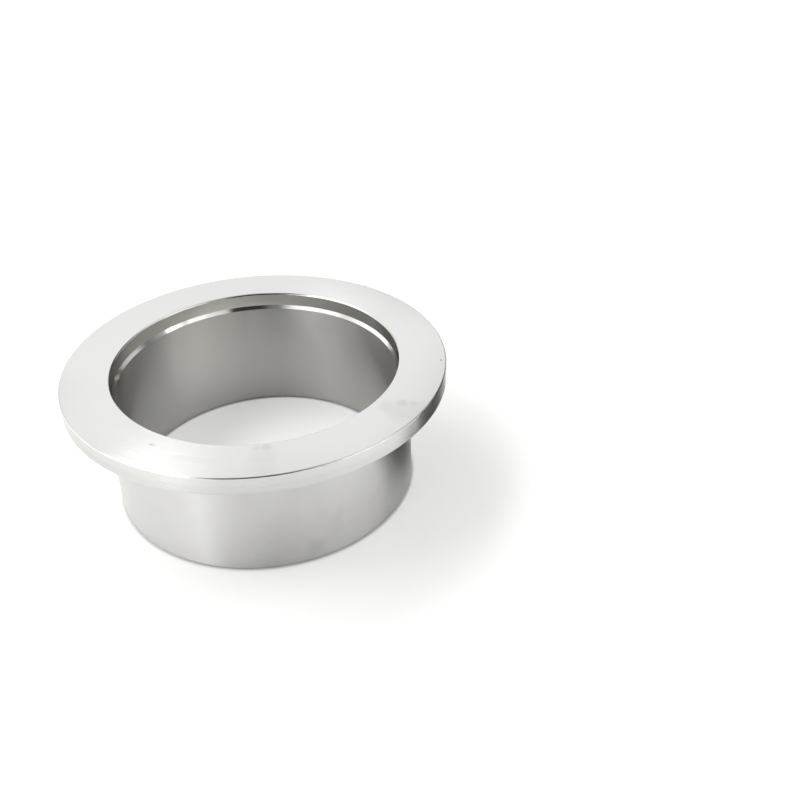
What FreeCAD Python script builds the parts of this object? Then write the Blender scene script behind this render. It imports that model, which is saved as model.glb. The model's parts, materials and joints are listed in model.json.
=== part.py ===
import FreeCAD, Part

import math
import os

# Weld flange for a vacuum line, turned from one piece of stainless steel.
# Lengths are millimetres. Angles are degrees: the bevel's from the flat of the rim,
# and the recess shoulder's from the axis.
# The stub's end face lies on z = 0, and the sealing face looks up along +Z.
# The axis of the bore is the Z axis.

# Overall
total_height = 20.0

# Clamp rim: a straight cylinder with a bevel behind it that the clamp pulls on
rim_diameter = 55.0
rim_width = 2.6
rim_face_round = 0.2
rim_back_break = 0.1
bevel_angle = 15.0

# Tube stub, welded to the line at its end
bore_diameter = 40.5
stub_wall = 2.0
root_fillet = 1.5
stub_outer_break = 0.2
stub_bore_break = 0.15

# Centring recess in the sealing face, with a conical shoulder down to the bore
recess_step = 0.35
recess_depth = 2.1
recess_mouth_round = 0.28
shoulder_angle = 33.0

# Radii that follow from the sizes above
bore_radius = bore_diameter / 2
stub_radius = bore_radius + stub_wall
recess_radius = bore_radius + recess_step
rim_radius = rim_diameter / 2

# Heights that follow from the sizes above
rim_back_height = total_height - rim_width
bevel_drop = (rim_radius - rim_back_break - stub_radius) * math.tan(math.radians(bevel_angle))
root_height = rim_back_height - bevel_drop
recess_end_height = total_height - recess_depth
bore_edge_height = recess_end_height - recess_step / math.tan(math.radians(shoulder_angle))


def section_wire(corners):
    """Close a half section in the XZ plane.

    Each corner is (radius, height, rounding). A rounding above zero replaces
    the corner by an arc that is tangent to the two sides that meet there.
    """
    points = [FreeCAD.Vector(radius, 0, height) for radius, height, rounding in corners]
    edges = []
    first_point = None
    last_point = None
    for index, (radius, height, rounding) in enumerate(corners):
        here = points[index]
        if rounding > 0:
            to_before = (points[index - 1] - here).normalize()
            to_after = (points[(index + 1) % len(points)] - here).normalize()
            half_angle = to_before.getAngle(to_after) / 2
            setback = rounding / math.tan(half_angle)
            start = here + to_before * setback
            end = here + to_after * setback
            bisector = (to_before + to_after).normalize()
            middle = here + bisector * (rounding / math.sin(half_angle) - rounding)
        else:
            start = here
            end = here
        if last_point is None:
            first_point = start
        else:
            edges.append(Part.LineSegment(last_point, start).toShape())
        if rounding > 0:
            edges.append(Part.Arc(start, middle, end).toShape())
        last_point = end
    edges.append(Part.LineSegment(last_point, first_point).toShape())
    return Part.Wire(edges)


def turned_flange():
    """Turn the whole flange from its half section."""
    # The corners run up the outside, in across the sealing face and down the bore
    outside = [
        (stub_radius - stub_outer_break, 0, 0),
        (stub_radius, stub_outer_break, 0),
        (stub_radius, root_height, root_fillet),
        (rim_radius - rim_back_break, rim_back_height, 0),
        (rim_radius, rim_back_height + rim_back_break, 0),
        (rim_radius, total_height, rim_face_round),
    ]
    inside = [
        (recess_radius, total_height, recess_mouth_round),
        (recess_radius, recess_end_height, 0),
        (bore_radius, bore_edge_height, 0),
        (bore_radius, stub_bore_break, 0),
        (bore_radius + stub_bore_break, 0, 0),
    ]
    face = Part.Face(section_wire(outside + inside))
    axis_point = FreeCAD.Vector(0, 0, 0)
    axis_direction = FreeCAD.Vector(0, 0, 1)
    return face.revolve(axis_point, axis_direction, 360)


def main():
    """Build the flange, write it to its file and print what was made."""
    os.makedirs("parts", exist_ok=True)
    flange = turned_flange()
    if flange.ShapeType != "Solid":
        flange = flange.Solids[0]
    if flange.Volume < 0:
        flange.reverse()
    flange.exportStep("parts/weld_flange.step")
    box = flange.BoundBox
    print("weld_flange valid", flange.isValid(), "volume mm3", round(flange.Volume, 1))
    print("size mm", round(box.XLength, 3), round(box.YLength, 3), round(box.ZLength, 3))
    print("bore edge height mm", round(bore_edge_height, 3), "root height mm", round(root_height, 3))


main()
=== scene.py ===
# %% [markdown]
# # Vacuum weld flange, turned from stainless steel
#
# The real flange is one turned piece: a clamp rim with a bevelled back, a flat sealing face with a
# shallow centring recess, a bore, and a short stub that is welded to a tube. This lesson dresses the
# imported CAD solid: it turns a finer copy of the same section, gives every turned surface its own
# finish, and lights it like a small studio shot of bright metal on white.

# %% Open the frame
import json
import math

import bpy
from mathutils import Matrix, Vector


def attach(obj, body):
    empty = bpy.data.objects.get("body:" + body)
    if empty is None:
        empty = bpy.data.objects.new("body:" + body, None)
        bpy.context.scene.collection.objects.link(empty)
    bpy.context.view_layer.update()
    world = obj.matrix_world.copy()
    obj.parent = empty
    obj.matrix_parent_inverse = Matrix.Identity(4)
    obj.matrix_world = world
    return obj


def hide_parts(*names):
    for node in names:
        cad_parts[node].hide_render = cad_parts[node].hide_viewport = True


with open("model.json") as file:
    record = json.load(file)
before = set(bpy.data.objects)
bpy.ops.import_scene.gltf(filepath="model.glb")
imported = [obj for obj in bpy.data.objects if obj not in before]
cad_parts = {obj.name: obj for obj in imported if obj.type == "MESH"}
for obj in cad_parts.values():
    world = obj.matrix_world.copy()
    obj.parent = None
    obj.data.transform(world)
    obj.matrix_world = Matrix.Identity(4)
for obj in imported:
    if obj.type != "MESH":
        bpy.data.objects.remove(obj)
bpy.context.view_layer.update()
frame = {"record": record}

MM = 0.001

# %% [markdown]
# The camera comes first, because every later choice is judged through it. A camera could be placed by
# eye, but the flange is round, so its rim, recess, bore and stub edges all show as ellipses, and those
# settle the lens and the viewpoint. The angles are how far the camera looks down, how far it turns to
# the left, and how far the picture leans.

# %% Camera
SENSOR_WIDTH_MM = 36.0
LENS_MM = 41.23
CAMERA_PLACE_MM = (21.87, -113.18, 88.66)
LOOKS_DOWN_DEG = 33.90
TURNS_LEFT_DEG = 0.60
LEANS_DEG = -1.00
NEAREST_SEEN_MM = 5.0

camera_data = bpy.data.cameras.new("camera")
camera_data.sensor_width = SENSOR_WIDTH_MM
camera_data.lens = LENS_MM
camera_data.clip_start = NEAREST_SEEN_MM * MM
camera = bpy.data.objects.new("camera", camera_data)
bpy.context.scene.collection.objects.link(camera)
heading = Matrix.Rotation(math.radians(TURNS_LEFT_DEG), 4, "Z")
tilt = Matrix.Rotation(math.radians(90 - LOOKS_DOWN_DEG), 4, "X")
lean = Matrix.Rotation(math.radians(LEANS_DEG), 4, "Z")
camera.matrix_world = Matrix.Translation(Vector(CAMERA_PLACE_MM) * MM) @ heading @ tilt @ lean
bpy.context.scene.camera = camera
print("camera at", CAMERA_PLACE_MM, "mm, lens", LENS_MM, "mm")

# %% [markdown]
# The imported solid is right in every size, but its round surfaces are cut into facets, and bright metal
# shows each one. A subdivision modifier would soften the crisp edges of a turned part. So the flange is
# turned again from its half section, as on a lathe, with many more steps round the axis. The radii come
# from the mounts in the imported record, so that the copy follows the solid.

# %% Sizes of the half section
mounts = {mount["name"]: mount for mount in frame["record"]["mounts"]}
rim_radius = mounts["clamp_rim"]["dims"]["r_mm"]
stub_radius = mounts["weld_stub"]["dims"]["r_mm"]
bore_radius = mounts["bore"]["dims"]["r_mm"]
recess_radius = mounts["centring_recess"]["dims"]["r_mm"]
height = mounts["sealing_face"]["pos_m"][2] / MM

RIM_WIDTH = 2.6
RIM_FACE_ROUND = 0.2
RIM_BACK_BREAK = 0.1
BEVEL_DEG = 15.0
ROOT_FILLET = 1.5
STUB_OUTER_BREAK = 0.2
STUB_BORE_BREAK = 0.15
RECESS_DEPTH = 2.1
RECESS_MOUTH_ROUND = 0.28
SHOULDER_DEG = 33.0
EDGE_ROUND = 0.04

rim_back = height - RIM_WIDTH
bevel_run = rim_radius - RIM_BACK_BREAK - stub_radius
root = rim_back - bevel_run * math.tan(math.radians(BEVEL_DEG))
recess_end = height - RECESS_DEPTH
bore_edge = recess_end - (recess_radius - bore_radius) / math.tan(math.radians(SHOULDER_DEG))
print("radii in mm", rim_radius, stub_radius, recess_radius, bore_radius)
print("bore edge at", round(bore_edge, 3), "mm, root at", round(root, 3), "mm")

# %% [markdown]
# Each corner of the section is a radius, a height, a rounding and the name of the finish on the surface
# that runs to the next corner. Even a crisp machined edge is broken by a few hundredths, and that small
# round is what catches the light, so every corner gets one.

# %% Half section
STUB = "satin stub"
RIM = "bright rim"
FACE = "sealing face"
RECESS = "bright recess"
BORE = "satin bore"
FINISHES = [STUB, RIM, FACE, RECESS, BORE]

section = [
    (stub_radius - STUB_OUTER_BREAK, 0, EDGE_ROUND, STUB),
    (stub_radius, STUB_OUTER_BREAK, EDGE_ROUND, STUB),
    (stub_radius, root, ROOT_FILLET, RIM),
    (rim_radius - RIM_BACK_BREAK, rim_back, EDGE_ROUND, RIM),
    (rim_radius, rim_back + RIM_BACK_BREAK, EDGE_ROUND, RIM),
    (rim_radius, height, RIM_FACE_ROUND, FACE),
    (recess_radius, height, RECESS_MOUTH_ROUND, RECESS),
    (recess_radius, recess_end, EDGE_ROUND, RECESS),
    (bore_radius, bore_edge, EDGE_ROUND, BORE),
    (bore_radius, STUB_BORE_BREAK, EDGE_ROUND, BORE),
    (bore_radius + STUB_BORE_BREAK, 0, EDGE_ROUND, STUB),
]
print("corners of the half section", len(section))

# %% [markdown]
# A bevel modifier could round the finished mesh, but all its edges would get one width, or each a weight
# of its own. Rounding the section before it is turned is simpler: each corner becomes a short arc that
# touches both of its sides, with the radius that the real edge has.

# %% Rounded corners
ARC_STEP_DEG = 9.0
LEAST_ARC_STEPS = 3


def rounded_corner(before, corner, after, rounding):
    """Points of the arc that rounds a corner, tangent to both of its sides."""
    to_before = (before - corner).normalized()
    to_after = (after - corner).normalized()
    half_angle = to_before.angle(to_after) / 2
    setback = rounding / math.tan(half_angle)
    centre = corner + (to_before + to_after).normalized() * rounding / math.sin(half_angle)
    start = corner + to_before * setback - centre
    end = corner + to_after * setback - centre
    turn = math.pi - 2 * half_angle
    steps = max(LEAST_ARC_STEPS, math.ceil(math.degrees(turn) / ARC_STEP_DEG))
    arc = []
    for step in range(steps + 1):
        share = step / steps
        spoke = (start * math.sin((1 - share) * turn) + end * math.sin(share * turn)) / math.sin(turn)
        arc.append(centre + spoke)
    return arc


profile = []
corners = [Vector((radius, level)) for radius, level, rounding, finish in section]
for index, (radius, level, rounding, finish) in enumerate(section):
    before = corners[index - 1]
    after = corners[(index + 1) % len(corners)]
    for point in rounded_corner(before, corners[index], after, rounding):
        profile.append((point, finish))
print("points on the half section", len(profile))

# %% [markdown]
# Turning the section is a loop: each profile point becomes a ring of vertices, and each pair of rings a
# band of quads. Blender's Spin or Screw tool would do the same, but the loop also lets each band take
# the finish of its own surface. Smooth shading is on, and the long flat and straight bands keep their
# true normals, because every corner between them is a real small arc.

# %% Turn the flange
STEPS_ROUND = 720

vertices = []
for point, finish in profile:
    for step in range(STEPS_ROUND):
        angle = 2 * math.pi * step / STEPS_ROUND
        vertices.append((point.x * math.cos(angle) * MM, point.x * math.sin(angle) * MM, point.y * MM))
faces = []
finish_of_face = []
for ring in range(len(profile)):
    this_ring = ring * STEPS_ROUND
    next_ring = (ring + 1) % len(profile) * STEPS_ROUND
    for step in range(STEPS_ROUND):
        side = (step + 1) % STEPS_ROUND
        faces.append((this_ring + step, this_ring + side, next_ring + side, next_ring + step))
        finish_of_face.append(FINISHES.index(profile[ring][1]))
flange_mesh = bpy.data.meshes.new("turned_flange")
flange_mesh.from_pydata(vertices, [], faces)
flange_mesh.validate()
flange_mesh.polygons.foreach_set("material_index", finish_of_face)
flange_mesh.polygons.foreach_set("use_smooth", [True] * len(faces))
flange = bpy.data.objects.new("turned_flange", flange_mesh)
bpy.context.scene.collection.objects.link(flange)
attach(flange, "root")
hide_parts("weld_flange")
print("turned flange has", len(faces) * 2, "triangles")

# %% [markdown]
# The finishes are node trees, and a node tree made in code gets long. A small helper keeps each step on
# one short line: add a node, join two sockets, do arithmetic, fade between two values, or look up noise.

# %% Node helper
class Nodes:
    """Short calls for adding nodes to one tree."""

    def __init__(self, tree):
        self.tree = tree
        tree.nodes.clear()

    def add(self, kind, **settings):
        node = self.tree.nodes.new(kind)
        for name, value in settings.items():
            setattr(node, name, value)
        return node

    def join(self, output, socket):
        self.tree.links.new(output, socket)

    def math(self, operation, *values):
        node = self.add("ShaderNodeMath", operation=operation)
        for socket, value in zip(node.inputs, values):
            if isinstance(value, bpy.types.NodeSocket):
                self.join(value, socket)
            else:
                socket.default_value = value
        return node.outputs[0]

    def smooth_step(self, value, low, high):
        node = self.add("ShaderNodeMapRange", interpolation_type="SMOOTHSTEP")
        self.join(value, node.inputs["Value"])
        node.inputs["From Min"].default_value = low
        node.inputs["From Max"].default_value = high
        return node.outputs["Result"]

    def noise(self, x, y, z, detail, roughness=0.5):
        vector = self.add("ShaderNodeCombineXYZ")
        for socket, value in zip(vector.inputs, (x, y, z)):
            self.join(value, socket)
        node = self.add("ShaderNodeTexNoise")
        self.join(vector.outputs[0], node.inputs["Vector"])
        node.inputs["Scale"].default_value = 1.0
        node.inputs["Detail"].default_value = detail
        node.inputs["Roughness"].default_value = roughness
        return node.outputs["Fac"]


print("noise is looked up by place, so it is the same in every run")

# %% [markdown]
# Marks on a turned part follow its section, not its faces. So each finish first works out where the
# shaded point lies: its radius and height in millimetres, and its direction round the axis. From these
# come the turning marks, which change quickly from one ring to the next and slowly along a ring. A wood
# or wave texture would give rings too, but evenly spaced ones, and those look printed.

# %% Place on the flange and turning marks
class Place:
    """Where the shaded point lies on the flange, in millimetres."""

    def __init__(self, nodes):
        coordinates = nodes.add("ShaderNodeTexCoord").outputs["Object"]
        parts = nodes.add("ShaderNodeSeparateXYZ")
        nodes.join(coordinates, parts.inputs[0])
        self.x = nodes.math("DIVIDE", parts.outputs["X"], MM)
        self.y = nodes.math("DIVIDE", parts.outputs["Y"], MM)
        self.height = nodes.math("DIVIDE", parts.outputs["Z"], MM)
        squared = nodes.math("MULTIPLY_ADD", self.x, self.x, nodes.math("MULTIPLY", self.y, self.y))
        self.radius = nodes.math("SQRT", squared)


ACROSS_HEIGHT_SHARE = 1.7
GROOVE_NOISE_ROUGHNESS = 0.6


def turning_marks(nodes, place, pitch, changes_round, detail):
    """Rings about a pitch apart, from 0 to 1, that fade in and out a few times round the axis."""
    round_x = nodes.math("MULTIPLY", nodes.math("DIVIDE", place.x, place.radius), changes_round)
    round_y = nodes.math("MULTIPLY", nodes.math("DIVIDE", place.y, place.radius), changes_round)
    along_section = nodes.math("MULTIPLY_ADD", place.height, ACROSS_HEIGHT_SHARE, place.radius)
    across = nodes.math("DIVIDE", along_section, pitch)
    return nodes.noise(round_x, round_y, across, detail, GROOVE_NOISE_ROUGHNESS)


def patches(nodes, place, size, detail):
    """Soft patches about a size across, from 0 to 1."""
    x = nodes.math("DIVIDE", place.x, size)
    y = nodes.math("DIVIDE", place.y, size)
    z = nodes.math("DIVIDE", place.height, size)
    return nodes.noise(x, y, z, detail)


print("turning marks run round the Z axis")

# %% [markdown]
# Edges wear first: handling leaves tiny nicks and a duller line along them. Blender's pointiness would
# find edges on any mesh, but it depends on the mesh's density. The flange's edges are circles of known
# radius and height, so the distance to the nearest circle is exact, and it works at every scale. A new
# flange has few nicks, so only the peaks of the noise count.

# %% Edge wear
EDGES = [
    (rim_radius, height),
    (rim_radius, rim_back),
    (recess_radius, height),
    (stub_radius - STUB_OUTER_BREAK / 2, STUB_OUTER_BREAK / 2),
    (bore_radius, 0),
]
WEAR_REACH_MM = 0.4
WORN_THROUGHOUT_MM = 0.1
NICK_SIZE_MM = 0.5
NICK_DETAIL = 2.0
NICK_PEAKS = (0.60, 0.72)


def edge_wear(nodes, place):
    """Worn spots along the flange's edges, from 0 to 1."""
    nearest = WEAR_REACH_MM
    for edge_radius, edge_height in EDGES:
        out = nodes.math("SUBTRACT", place.radius, edge_radius)
        up = nodes.math("SUBTRACT", place.height, edge_height)
        squared = nodes.math("MULTIPLY_ADD", out, out, nodes.math("MULTIPLY", up, up))
        nearest = nodes.math("MINIMUM", nodes.math("SQRT", squared), nearest)
    near_edge = nodes.smooth_step(nearest, WEAR_REACH_MM, WORN_THROUGHOUT_MM)
    nicks = nodes.smooth_step(patches(nodes, place, NICK_SIZE_MM, NICK_DETAIL), *NICK_PEAKS)
    return nodes.math("MULTIPLY", near_edge, nicks)


print("edges that wear", len(EDGES))

# %% [markdown]
# Handling leaves marks of its own. The sealing face has a few small pits, the smudge of a thumb and a
# dull streak across it. The stub is darker in a few spots near its foot, and the broadest of them is
# painted shade. They could be painted on an image, but a few spots say the same in one line each: x, y,
# height and radius in millimetres, and a strength.
# Their places were found one by one in the photograph and turned into millimetres through the fitted
# camera.

# %% Marks of handling, and darker spots on the stub
PITS_MM = [
    (-10.6, -20.4, 20.0, 0.20, 0.35),
    (-10.2, -20.55, 20.0, 0.16, 0.35),
    (26.7, -0.85, 20.0, 0.15, 0.9),
]
SMUDGES_MM = [
    (19.4, -12.6, 20.0, 1.4, 0.4),
    (21.0, -11.8, 20.0, 0.8, 0.7),
    (22.6, -11.9, 20.0, 0.7, 0.6),
    (22.9, -13.0, 20.0, 1.7, 0.35),
    (21.0, -13.9, 20.0, 1.9, 0.4),
    (2.9, -21.4, 20.0, 0.5, 0.5),
    (4.1, -21.3, 20.0, 0.6, 0.6),
    (3.9, -23.4, 20.0, 1.5, 0.25),
    (4.2, -25.6, 20.0, 1.6, 0.25),
]
# Darker spots near the stub's foot.
STUB_DARK_SPOTS_MM = [
    (12.3, -18.5, 6.5, 1.5, 0.6),
    (11.9, -18.8, 4.3, 1.4, 0.7),
    (9.0, -20.3, 2.4, 1.5, 0.8),
    (5.0, -21.7, 3.4, 3.2, 0.4),
    (3.2, -22.0, 1.5, 1.8, 0.6),
    # This broad spot is painted shade on the stub's low right side.
    (14.3, -17.0, 3.8, 5.0, 0.45),
]
print("pits", len(PITS_MM), "spots of smudge", len(SMUDGES_MM), "dark spots on the stub", len(STUB_DARK_SPOTS_MM))

# %% [markdown]
# A spot is a soft ball round its place, so it marks whatever surface passes through it. Round spots look
# stamped, so noise breaks their outlines and mottles what is inside them. Softness says how far the
# outline wanders and fades, as a share of the spot's radius.

# %% Mask of the marks
OUTLINE_NOISE_MM = 1.6
MOTTLE_SIZE_MM = 0.8
MOTTLE_LEAST = 0.5
MARK_DETAIL = 2.0


def marks(nodes, place, spots, softness):
    """One mask for a list of spots, from 0 to a little over their strengths."""
    outline = patches(nodes, place, OUTLINE_NOISE_MM, MARK_DETAIL)
    wobble = nodes.math("MULTIPLY_ADD", outline, 2.0, -1.0)
    mask = 0.0
    for spot_x, spot_y, spot_height, spot_radius, strength in spots:
        beside_x = nodes.math("SUBTRACT", place.x, spot_x)
        beside_y = nodes.math("SUBTRACT", place.y, spot_y)
        above = nodes.math("SUBTRACT", place.height, spot_height)
        squared = nodes.math("MULTIPLY", beside_y, beside_y)
        squared = nodes.math("MULTIPLY_ADD", beside_x, beside_x, squared)
        squared = nodes.math("MULTIPLY_ADD", above, above, squared)
        away = nodes.math("DIVIDE", nodes.math("SQRT", squared), spot_radius)
        uneven = nodes.math("MULTIPLY_ADD", wobble, softness, away)
        spot = nodes.smooth_step(uneven, 1.0 + softness, 1.0 - softness)
        mask = nodes.math("MAXIMUM", nodes.math("MULTIPLY", spot, strength), mask)
    mottling = nodes.math("ADD", patches(nodes, place, MOTTLE_SIZE_MM, MARK_DETAIL), MOTTLE_LEAST)
    return nodes.math("MULTIPLY", mask, mottling)


print("marks are mottled every", MOTTLE_SIZE_MM, "mm")

# %% [markdown]
# All the surfaces are the same steel, so they share one recipe. Its first half is what the tool and the
# air left: rings, slow blotches and worn edges, in the brightness, the roughness and the bump. A picture
# of turned metal laid over the mesh could show them too, but it would stretch on the round sides, and
# noise looked up by place doesn't. Most grooves are far finer than a pixel and are left to the shader.

# %% Rings, blotches and wear
RINGS_CHANGE_ROUND = 3.0
RING_DETAIL = 3.0
RING_TINT = 0.05
BLOTCH_SIZE_MM = 4.0
BLOTCH_DETAIL = 3.0
BLOTCH_TINT = 0.05
WEAR_ROUGHNESS = 0.08
NICK_DEPTH_MM = 0.004


def turned_surface(nodes, place, roughness, pitch, depth, ring_roughness, blotch_roughness):
    """Brightness, roughness and bump of a turned surface with rings a pitch apart."""
    rings = turning_marks(nodes, place, pitch, RINGS_CHANGE_ROUND, RING_DETAIL)
    blotches = patches(nodes, place, BLOTCH_SIZE_MM, BLOTCH_DETAIL)
    wear = edge_wear(nodes, place)
    ring_part = nodes.math("SUBTRACT", rings, 0.5)
    blotch_part = nodes.math("SUBTRACT", blotches, 0.5)
    brightness = nodes.math("MULTIPLY_ADD", ring_part, RING_TINT, 1.0)
    brightness = nodes.math("MULTIPLY_ADD", blotch_part, BLOTCH_TINT, brightness)
    rough = nodes.math("MULTIPLY_ADD", ring_part, ring_roughness, roughness)
    rough = nodes.math("MULTIPLY_ADD", blotch_part, blotch_roughness, rough)
    rough = nodes.math("MULTIPLY_ADD", wear, WEAR_ROUGHNESS, rough)
    bump = nodes.math("MULTIPLY", rings, depth * MM)
    bump = nodes.math("MULTIPLY_ADD", wear, -NICK_DEPTH_MM * MM, bump)
    return brightness, rough, bump


print("blotches about", BLOTCH_SIZE_MM, "mm across")

# %% [markdown]
# The other half belongs to one surface each. The face gets its smudges and pits, and the stub its darker
# spots, the broadest of them painted shade. The lower half of the rim's edge is a little darker, a
# painted shade, with turning bands in it that run round it. Each could be a material of its own, but as
# masks they leave the steel under them alone.

# %% Marks and painted shade of each surface
SMUDGE_SOFTNESS = 0.6
SMUDGE_TINT = 0.12
SMUDGE_ROUGHNESS = 0.04
PIT_SOFTNESS = 0.3
PIT_TINT = 0.70
DARK_SPOT_SOFTNESS = 0.8
DARK_SPOT_TINT = 0.14
BAND_PITCH_MM = 0.9
BANDS_CHANGE_ROUND = 1.5
BAND_DETAIL = 2.0
BAND_PEAKS = (0.45, 0.65)
BAND_TINT = 0.05
# Painted shade: how much darker the lower half of the rim's edge is.
RIM_PAINTED_SHADE_TINT = 0.05
RIM_PAINTED_SHADE_HEIGHTS_MM = (19.4, 17.6)


def marked_face(nodes, place, brightness, rough):
    """The sealing face with its smudges and pits."""
    smudges = marks(nodes, place, SMUDGES_MM, SMUDGE_SOFTNESS)
    pits = marks(nodes, place, PITS_MM, PIT_SOFTNESS)
    brightness = nodes.math("MULTIPLY_ADD", smudges, -SMUDGE_TINT, brightness)
    brightness = nodes.math("MULTIPLY_ADD", pits, -PIT_TINT, brightness)
    rough = nodes.math("MULTIPLY_ADD", smudges, SMUDGE_ROUGHNESS, rough)
    return brightness, rough


def darkened_stub(nodes, place, brightness):
    """The stub with its darker spots near the foot, the broadest of them painted shade."""
    dark_spots = marks(nodes, place, STUB_DARK_SPOTS_MM, DARK_SPOT_SOFTNESS)
    return nodes.math("MULTIPLY_ADD", dark_spots, -DARK_SPOT_TINT, brightness)


def rim_with_painted_shade(nodes, place, brightness):
    """The rim with turning bands and painted shade on the lower half of its edge."""
    bands = turning_marks(nodes, place, BAND_PITCH_MM, BANDS_CHANGE_ROUND, BAND_DETAIL)
    bands = nodes.smooth_step(bands, *BAND_PEAKS)
    # The lower half's darkening is painted shade; the bands in it are turning lines.
    dull = nodes.math("MULTIPLY_ADD", bands, BAND_TINT, RIM_PAINTED_SHADE_TINT)
    dull = nodes.math("MULTIPLY", dull, nodes.smooth_step(place.height, *RIM_PAINTED_SHADE_HEIGHTS_MM))
    return nodes.math("SUBTRACT", brightness, dull)


print("the rim's edge is dull below", RIM_PAINTED_SHADE_HEIGHTS_MM[0], "mm")

# %% [markdown]
# Metal has no colour of its own beyond the tint of its reflection. What tells a faced surface from a
# bored one is how the tool left it: grooves that run round the axis. Drawing each groove would need a
# mesh finer than the picture, so the shader's anisotropic setting stands for them, turned round the axis
# by a radial tangent. It stretches every highlight across the grooves, as real turned steel does.

# %% Steel shader
ACROSS_THE_GROOVES = 0.25


def steel_finish(name, tint, roughness, anisotropic, pitch, depth, ring_roughness, blotch_roughness):
    """One turned steel surface. Pitch and depth are of its rings, in millimetres."""
    material = bpy.data.materials.new(name)
    material.use_nodes = True
    nodes = Nodes(material.node_tree)
    place = Place(nodes)
    brightness, rough, surface = turned_surface(
        nodes, place, roughness, pitch, depth, ring_roughness, blotch_roughness)
    if name == FACE:
        brightness, rough = marked_face(nodes, place, brightness, rough)
    if name == STUB:
        brightness = darkened_stub(nodes, place, brightness)
    if name == RIM:
        brightness = rim_with_painted_shade(nodes, place, brightness)

    colour = nodes.add("ShaderNodeVectorMath", operation="SCALE")
    colour.inputs[0].default_value = tint
    nodes.join(brightness, colour.inputs["Scale"])
    bump = nodes.add("ShaderNodeBump")
    bump.inputs["Strength"].default_value = 1.0
    bump.inputs["Distance"].default_value = 1.0
    nodes.join(surface, bump.inputs["Height"])
    tangent = nodes.add("ShaderNodeTangent", direction_type="RADIAL", axis="Z")

    shader = nodes.add("ShaderNodeBsdfPrincipled")
    shader.inputs["Metallic"].default_value = 1.0
    shader.inputs["Anisotropic"].default_value = anisotropic
    shader.inputs["Anisotropic Rotation"].default_value = ACROSS_THE_GROOVES
    nodes.join(colour.outputs[0], shader.inputs["Base Color"])
    nodes.join(rough, shader.inputs["Roughness"])
    nodes.join(bump.outputs["Normal"], shader.inputs["Normal"])
    nodes.join(tangent.outputs["Tangent"], shader.inputs["Tangent"])
    output = nodes.add("ShaderNodeOutputMaterial")
    nodes.join(shader.outputs["BSDF"], output.inputs["Surface"])
    return material


print("grooves turn the highlights by", ACROSS_THE_GROOVES, "of a turn")

# %% [markdown]
# The surfaces differ only in numbers. The stub and the bore are turned coarser and look satin, the rim
# and the face are finer, and the recess, where the centring ring seats, is the smoothest. The tint is
# warmest in the recess and the bore, and darkest in the bore, where the darker tint is painted shade.

# %% Finishes of the flange
finish_values = {
    STUB: dict(tint=(0.704, 0.700, 0.679), roughness=0.33, anisotropic=1.0, pitch=0.35, depth=0.0016,
               ring_roughness=0.10, blotch_roughness=0.08),
    RIM: dict(tint=(0.692, 0.689, 0.670), roughness=0.28, anisotropic=1.0, pitch=0.25, depth=0.0008,
              ring_roughness=0.05, blotch_roughness=0.03),
    FACE: dict(tint=(0.701, 0.700, 0.690), roughness=0.20, anisotropic=0.9, pitch=0.30, depth=0.0008,
               ring_roughness=0.06, blotch_roughness=0.04),
    RECESS: dict(tint=(0.704, 0.700, 0.668), roughness=0.11, anisotropic=0.7, pitch=0.25, depth=0.0010,
                 ring_roughness=0.06, blotch_roughness=0.04),
    # The bore's darker tint is painted shade inside the bore.
    BORE: dict(tint=(0.538, 0.534, 0.512), roughness=0.31, anisotropic=1.0, pitch=0.35, depth=0.0020,
               ring_roughness=0.10, blotch_roughness=0.08),
}
for finish in FINISHES:
    flange_mesh.materials.append(steel_finish(finish, **finish_values[finish]))
print("finishes", FINISHES)

# %% [markdown]
# The floor is a plain white sweep, far larger than the picture, so that no edge of it shows from any
# side. It is ordinary matt white, so it takes the flange's shadow. It is also a touch warm, which is
# painted bounce light in that shadow.

# %% Floor
FLOOR_SIZE_MM = 6000.0
# A touch warm: painted bounce light in the floor's shadow.
FLOOR_WHITE = (0.80, 0.80, 0.79, 1.0)

bpy.ops.mesh.primitive_plane_add(size=FLOOR_SIZE_MM * MM)
floor = bpy.context.object
floor.name = "floor"
floor_material = bpy.data.materials.new("floor white")
floor_material.use_nodes = True
floor.data.materials.append(floor_material)
nodes = Nodes(floor_material.node_tree)
place = Place(nodes)
paper = nodes.add("ShaderNodeBsdfDiffuse")
paper.inputs["Color"].default_value = FLOOR_WHITE
print("floor reaches", FLOOR_SIZE_MM / 2, "mm each way")

# %% [markdown]
# A product shot on white lets the ground burn out except where the object shades it. More light would do
# that, but it would burn out the metal too. So the floor gets a little glow, which only the camera and
# the metal's mirror see, and the shadow stays. The glow stops short of the stub's foot, which paints a
# contact shadow: a thin dark line where the flange stands. The metal sees less of it near the foot. This
# is a painted shade in its reflection that stands for real ground in the part's own shade. Far from the
# flange the glow grows, so that the ground ends in even white.

# %% Glow of the floor
PURE_WHITE = (1.0, 1.0, 1.0, 1.0)
FLOOR_GLOW = 0.35
EVEN_WHITE_MM = (60.0, 180.0)
PAINTED_FOOT_SHADOW_MM = 0.6
MIRRORED_IN_PAINTED_FOOT_SHADE = 0.6
MIRRORED_FULLY_MM = 15.0

half_wall = (stub_radius - bore_radius) / 2
from_wall = nodes.math("ABSOLUTE", nodes.math("SUBTRACT", place.radius, bore_radius + half_wall))
# No glow along the stub's foot: a painted contact shadow.
past_painted_foot_shadow = nodes.smooth_step(from_wall, half_wall, half_wall + PAINTED_FOOT_SHADOW_MM)
far_away = nodes.smooth_step(place.radius, *EVEN_WHITE_MM)
strength = nodes.math("MULTIPLY_ADD", far_away, 1.0 - FLOOR_GLOW, FLOOR_GLOW)
strength = nodes.math("MULTIPLY", strength, past_painted_foot_shadow)
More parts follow.
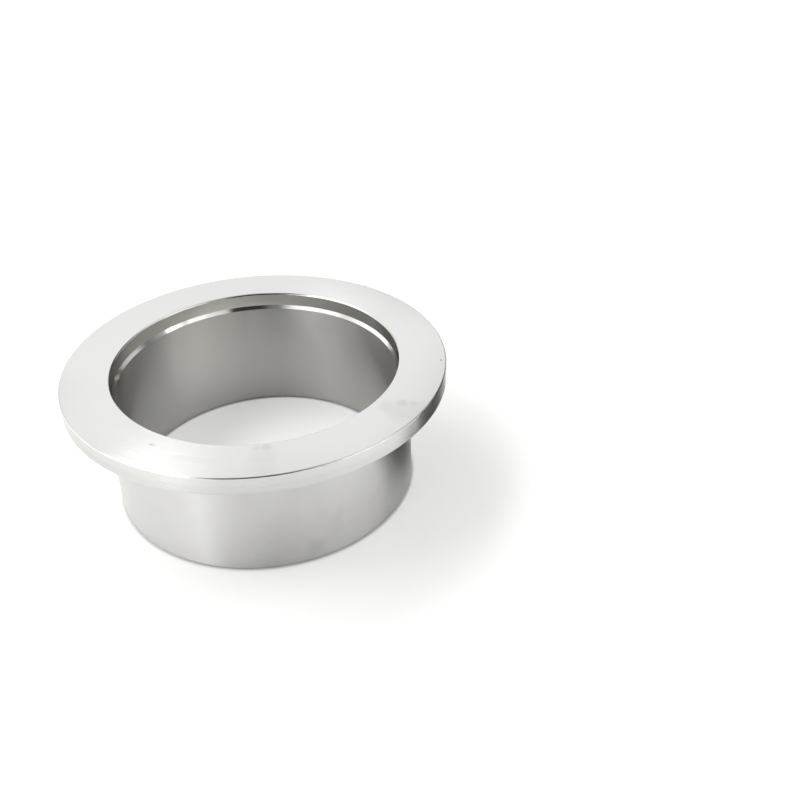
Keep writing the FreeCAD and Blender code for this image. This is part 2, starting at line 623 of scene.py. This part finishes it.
# The metal's mirror sees less glow near the foot: painted shade in its reflection.
off_painted_foot_shade = nodes.smooth_step(from_wall, half_wall, MIRRORED_FULLY_MM)
mirrored = nodes.math("MULTIPLY_ADD", off_painted_foot_shade, 1.0 - MIRRORED_IN_PAINTED_FOOT_SHADE, MIRRORED_IN_PAINTED_FOOT_SHADE)
rays = nodes.add("ShaderNodeLightPath")
mirrored = nodes.math("MULTIPLY", mirrored, rays.outputs["Is Glossy Ray"])
seen = nodes.math("ADD", rays.outputs["Is Camera Ray"], rays.outputs["Is Transmission Ray"])
seen = nodes.math("MINIMUM", nodes.math("ADD", seen, mirrored), 1.0)
glow = nodes.add("ShaderNodeEmission")
glow.inputs["Color"].default_value = PURE_WHITE
nodes.join(nodes.math("MULTIPLY", strength, seen), glow.inputs["Strength"])
both = nodes.add("ShaderNodeAddShader")
nodes.join(paper.outputs["BSDF"], both.inputs[0])
nodes.join(glow.outputs["Emission"], both.inputs[1])
output = nodes.add("ShaderNodeOutputMaterial")
nodes.join(both.outputs["Shader"], output.inputs["Surface"])
print("floor glows by", FLOOR_GLOW, "near the flange")

# %% [markdown]
# A bright rim on a white ground would melt into it. Photographers of metal stand a small dark card close
# by, and its reflection draws the edge. The card's grey is painted shade and painted shadow, seen only in
# the metal's reflection. Plain black would look like a hole in the metal, so this card turns paler toward
# the back and toward its foot's edge, where the painted shadow fades. It also has one pale strip, a
# painted highlight, so that the reflection is soft and streaked like a real one.

# %% Grey of the dark card: painted shade, shadow and highlight
# The card's grey is painted shade, darkest in front and paler at the back. Its foot's fade is painted
# shadow, and its strip is a painted highlight.
CARD_PAINTED_SHADE_GREY = 0.11
CARD_BACK_PAINTED_SHADE_GREY = 0.74
CARD_BACK_FADES_MM = (-3.0, 11.0)
CARD_FOOT_PAINTED_SHADOW_GREY = 0.60
CARD_FOOT_PAINTED_SHADOW_FADES_MM = (11.5, 18.5)
CARD_PAINTED_HIGHLIGHT_GREY = 0.30
CARD_PAINTED_HIGHLIGHT_PLACE_MM = -10.5
CARD_PAINTED_HIGHLIGHT_FADES_MM = (2.0, 0.5)

painted_shade_card_material = bpy.data.materials.new("card black")
painted_shade_card_material.use_nodes = True
nodes = Nodes(painted_shade_card_material.node_tree)
place = Place(nodes)
toward_back = nodes.smooth_step(place.y, *CARD_BACK_FADES_MM)
grey = nodes.math("MULTIPLY_ADD", toward_back, CARD_BACK_PAINTED_SHADE_GREY - CARD_PAINTED_SHADE_GREY, CARD_PAINTED_SHADE_GREY)
# The pale strip on the card is a painted highlight.
beside_painted_highlight = nodes.math("ABSOLUTE", nodes.math("SUBTRACT", place.y, CARD_PAINTED_HIGHLIGHT_PLACE_MM))
on_painted_highlight = nodes.smooth_step(beside_painted_highlight, *CARD_PAINTED_HIGHLIGHT_FADES_MM)
grey = nodes.math("MULTIPLY_ADD", on_painted_highlight, CARD_PAINTED_HIGHLIGHT_GREY - CARD_PAINTED_SHADE_GREY, grey)
# Toward the foot's edge the grey pales, where the painted shadow fades out.
painted_shadow_fade = nodes.smooth_step(place.radius, *CARD_FOOT_PAINTED_SHADOW_FADES_MM)
grey = nodes.math("MAXIMUM", grey, nodes.math("MULTIPLY", painted_shadow_fade, CARD_FOOT_PAINTED_SHADOW_GREY))
felt = nodes.add("ShaderNodeBsdfDiffuse")
nodes.join(grey, felt.inputs["Color"])
output = nodes.add("ShaderNodeOutputMaterial")
nodes.join(felt.outputs["BSDF"], output.inputs["Surface"])
print("card is", CARD_PAINTED_SHADE_GREY, "grey in front and", CARD_BACK_PAINTED_SHADE_GREY, "at the back")

# %% [markdown]
# The card is bent into a short drum on a wide foot, just to the right of the flange, because a round card
# is mirrored as one soft shape from every side. The camera doesn't see it and it throws no shadow, so it
# shows only as a reflection. Each part is a name, a place, a radius, and its lowest and highest level.

# %% Dark card
CARD_PARTS_MM = [
    ("card_foot", (42.5, 5.5), 18.5, 0.2, 1.0),
    ("card_drum", (53.0, 7.4), 13.0, 1.0, 28.0),
]
CARD_STEPS_ROUND = 96

for card_name, (card_x, card_y), card_radius, low, high in CARD_PARTS_MM:
    bpy.ops.mesh.primitive_cylinder_add(
        vertices=CARD_STEPS_ROUND, radius=card_radius * MM, depth=(high - low) * MM,
        location=(card_x * MM, card_y * MM, (low + high) / 2 * MM))
    card = bpy.context.object
    card.name = card_name
    card.data.materials.append(painted_shade_card_material)
    card.visible_camera = False
    card.visible_shadow = False
    card.visible_diffuse = False
print("parts of the dark card", len(CARD_PARTS_MM))

# %% [markdown]
# Bright metal shows its surroundings, so the studio is built round it: a big softbox at the top left,
# pale walls at the back and the sides, a few narrow strips, and a dark opening behind the camera. A dim
# tent fills what they leave. Together they light a level surface so that white paper comes out about as
# white as it is written. Each panel is a name, a compass angle from the back, a height above the horizon,
# a half width, a half height, the width of its soft edge, all in degrees, and a brightness. A shade has
# the share of light that it takes away in place of the brightness. Panels can be placed by eye, and here
# their first places were. But most of these numbers were not chosen by hand: a separate program fitted
# them to how bright the photograph shows the metal and the floor. They were then rounded, and some were
# changed afterwards to match the photograph.

# %% Panels of the studio
TENT = 0.045
PANELS = [
    ("ceiling", 0, 90, 200, 15, 10, 0.65),
    ("top left softbox", -77, 56, 44.5, 9, 5, 5.2),
    ("back wall", -10, 38.5, 22.5, 18.5, 3.5, 1.15),
    ("right strip", 114, 21.5, 18.5, 4, 3.5, 3.8),
    ("right wall", 83, 51, 31.5, 24, 14.5, 1.42),
    ("front left wall", -147.5, 37, 28, 5.5, 6.5, 1.85),
    ("upper left wall", -78, 34, 42.5, 7.5, 9, 1.45),
    ("left wall", -105, 20, 38.5, 13.5, 4.5, 0.56),
    ("low left wall", -80.5, 7.5, 79.5, 11.5, 5.5, 1.20),
    ("low right wall", 54, 12, 16, 7.5, 7.5, 0.74),
    ("front right wall", 138, 39, 14, 13, 4.5, 0.57),
    ("front right strip", 133, 27.5, 18.5, 4, 3, 1.35),
    ("front left strip", -138, 28, 27, 5, 4, 0.7),
    ("low front left strip", -141, 7.5, 7, 8, 6, 2.2),
]
SHADES = [
    ("camera opening", 178.5, 53, 24, 42, 9, 0.83),
]
print("studio has", len(PANELS), "panels and", len(SHADES), "shades")

# %% [markdown]
# Area lamps could stand for the panels, but the world shader can hold them all by direction, which keeps
# the light even over the small flange. The direction of a ray gives a compass angle and a rise, and a
# panel is what lies within its half sizes of both. The angle is wrapped, so that a panel may lie across
# the seam behind the camera.

# %% Directions of the studio
HALF_TURN_DEG = 180


def compass_and_rise(nodes):
    """The compass angle from the back and the angle above the horizon of a direction, in degrees."""
    direction = nodes.add("ShaderNodeTexCoord").outputs["Generated"]
    parts = nodes.add("ShaderNodeSeparateXYZ")
    nodes.join(direction, parts.inputs[0])
    to_degrees = HALF_TURN_DEG / math.pi
    compass = nodes.math("ARCTAN2", parts.outputs["X"], parts.outputs["Y"])
    compass = nodes.math("MULTIPLY", compass, to_degrees)
    rise = nodes.math("MULTIPLY", nodes.math("ARCSINE", parts.outputs["Z"]), to_degrees)
    return compass, rise


def soft_patch(nodes, compass, rise, angle, up, half_wide, half_tall, soft):
    """A patch of sky with soft edges, from 0 to 1."""
    across = nodes.math("SUBTRACT", compass, angle)
    across = nodes.math("ABSOLUTE", nodes.math("WRAP", across, HALF_TURN_DEG, -HALF_TURN_DEG))
    upward = nodes.math("ABSOLUTE", nodes.math("SUBTRACT", rise, up))
    inside_across = nodes.smooth_step(across, half_wide + soft, half_wide - soft)
    inside_upward = nodes.smooth_step(upward, half_tall + soft, half_tall - soft)
    return nodes.math("MULTIPLY", inside_across, inside_upward)


print("compass angles run from", -HALF_TURN_DEG, "to", HALF_TURN_DEG)

# %% [markdown]
# The world adds the panels up, takes the shades away and lets the tent in everywhere. The camera itself
# sees plain white in place of the studio, so the picture's background is white, and no light is added
# for it.

# %% World
world = bpy.data.worlds.new("studio")
bpy.context.scene.world = world
world.use_nodes = True
nodes = Nodes(world.node_tree)
compass, rise = compass_and_rise(nodes)
light = 0.0
for name, angle, up, half_wide, half_tall, soft, strength in PANELS:
    patch = soft_patch(nodes, compass, rise, angle, up, half_wide, half_tall, soft)
    light = nodes.math("MULTIPLY_ADD", patch, strength, light)
for name, angle, up, half_wide, half_tall, soft, depth in SHADES:
    patch = soft_patch(nodes, compass, rise, angle, up, half_wide, half_tall, soft)
    light = nodes.math("MULTIPLY", light, nodes.math("MULTIPLY_ADD", patch, -depth, 1.0))
light = nodes.math("ADD", light, TENT)
surroundings = nodes.add("ShaderNodeBackground")
surroundings.inputs["Color"].default_value = PURE_WHITE
nodes.join(light, surroundings.inputs["Strength"])
white_ground = nodes.add("ShaderNodeBackground")
white_ground.inputs["Color"].default_value = PURE_WHITE
rays = nodes.add("ShaderNodeLightPath")
mix = nodes.add("ShaderNodeMixShader")
nodes.join(rays.outputs["Is Camera Ray"], mix.inputs["Fac"])
nodes.join(surroundings.outputs["Background"], mix.inputs[1])
nodes.join(white_ground.outputs["Background"], mix.inputs[2])
output = nodes.add("ShaderNodeOutputWorld")
nodes.join(mix.outputs["Shader"], output.inputs["Surface"])
print("world has", len(world.node_tree.nodes), "nodes")

# %% [markdown]
# The view transform stays plain, so that a colour comes out as it is written. The turned copy is a few
# micrometres wider than the solid that it stands for, because the solid's round sides are cut into
# facets.

# %% Finish
bpy.context.scene.view_settings.view_transform = "Standard"
